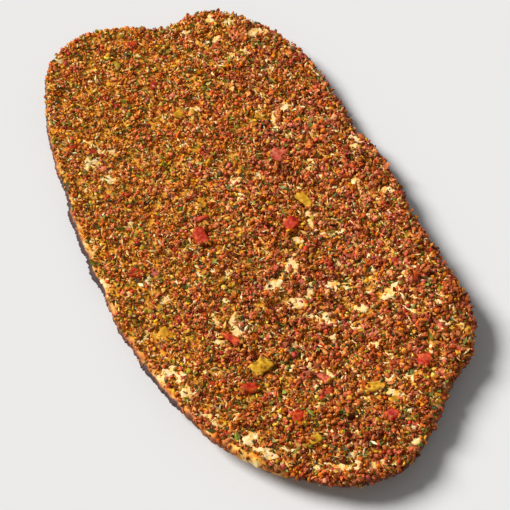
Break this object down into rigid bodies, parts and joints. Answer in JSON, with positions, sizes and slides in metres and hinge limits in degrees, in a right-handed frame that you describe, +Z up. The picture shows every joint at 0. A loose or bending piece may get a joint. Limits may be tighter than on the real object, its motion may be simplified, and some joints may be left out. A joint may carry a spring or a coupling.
{
  "type": "lahmacun",
  "caption": "Thin oval lahmacun: a stretched flatbread spread to near its edge with seasoned mince, parsley, tomato and pepper.",
  "frame": {"origin": "on the surface the bread lies on, under the middle of the bread's outline", "axes": "+Z up, the topped side; +Y along the bread's long axis, towards its two-lobed end; +X across it"},
  "size_m": [0.179, 0.3268, 0.0177],
  "materials": {
    "baked_dough": "matte",
    "spiced_mince": "matte",
    "tomato": "satin",
    "red_pepper": "satin",
    "green_pepper": "satin"
  },
  "bodies": {
    "root": {"dough": "baked_dough", "meat_topping": "spiced_mince", "tomato_1": "tomato", "tomato_2": "tomato", "tomato_3": "tomato", "tomato_4": "tomato", "tomato_5": "tomato", "tomato_6": "tomato", "tomato_7": "tomato", "red_pepper_1": "red_pepper", "red_pepper_2": "red_pepper", "green_pepper_1": "green_pepper", "green_pepper_2": "green_pepper", "green_pepper_3": "green_pepper", "green_pepper_4": "green_pepper"}
  },
  "joints": []
}
